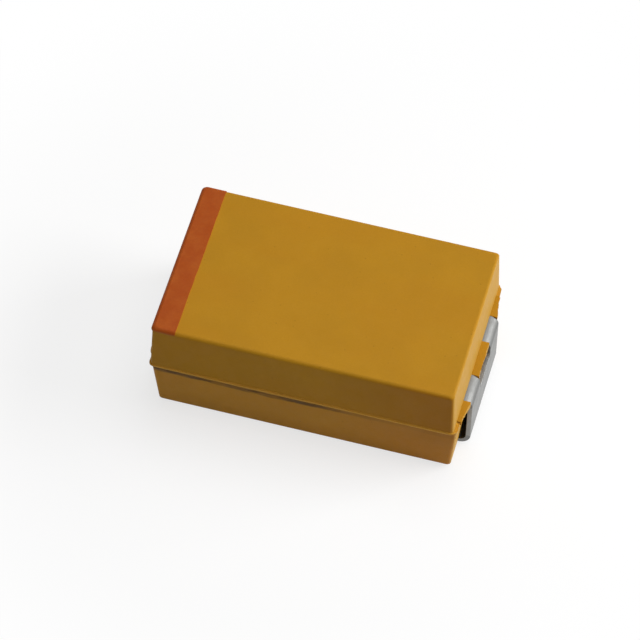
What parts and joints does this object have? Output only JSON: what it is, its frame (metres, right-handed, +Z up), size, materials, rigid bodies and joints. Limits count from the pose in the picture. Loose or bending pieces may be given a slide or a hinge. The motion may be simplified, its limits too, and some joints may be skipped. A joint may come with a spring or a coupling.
{
  "type": "tantalum chip capacitor",
  "caption": "Box-shaped epoxy chip capacitor with drafted halves, a parting line, a printed polarity band and windowed tin-plated strip terminals folded under its ends.",
  "frame": {"origin": "centre of the footprint, on the plane of the two solder pads", "axes": "+X along the chip from the anode end, which carries the band, to the cathode end; +Y across it; +Z up from the pads to the printed top"},
  "size_m": [0.0074, 0.0044, 0.0028],
  "materials": {
    "epoxy": "satin",
    "band_ink": "satin",
    "tin_plate": "satin",
    "tantalum_wire": "satin",
    "ptfe": "satin",
    "sintered_tantalum": "matte",
    "manganese_dioxide": "matte",
    "graphite": "satin",
    "silver_paint": "matte",
    "silver_epoxy": "satin"
  },
  "bodies": {
    "root": {"case": "epoxy", "polarity_band": "band_ink", "anode_terminal": "tin_plate", "cathode_terminal": "tin_plate", "anode_wire": "tantalum_wire", "wire_washer": "ptfe", "tantalum_pellet": "sintered_tantalum", "manganese_dioxide_coat": "manganese_dioxide", "graphite_coat": "graphite", "silver_coat": "silver_paint", "silver_adhesive": "silver_epoxy"}
  },
  "joints": []
}
